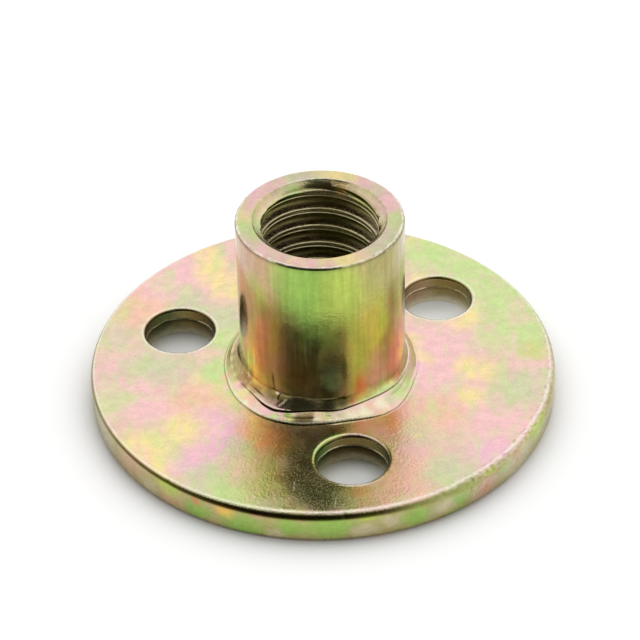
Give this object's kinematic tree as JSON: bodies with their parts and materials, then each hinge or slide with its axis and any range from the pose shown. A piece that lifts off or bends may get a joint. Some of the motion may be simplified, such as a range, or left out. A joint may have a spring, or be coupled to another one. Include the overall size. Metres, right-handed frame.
{
  "type": "tee nut",
  "caption": "Screw-on tee nut: a round flange with screw holes and a plain barrel that is threaded inside, in yellow zinc.",
  "frame": {"origin": "on the barrel's axis, in the plane of the flange's underside", "axes": "+Z along the barrel's axis, from the flange to the barrel's mouth; the first screw hole is towards -Y"},
  "size_m": [0.0283, 0.0282, 0.0127],
  "materials": {
    "zinc": "bright zinc plate with an iridescent yellow chromate film"
  },
  "bodies": {
    "root": {"tee_nut": "zinc"}
  },
  "joints": []
}
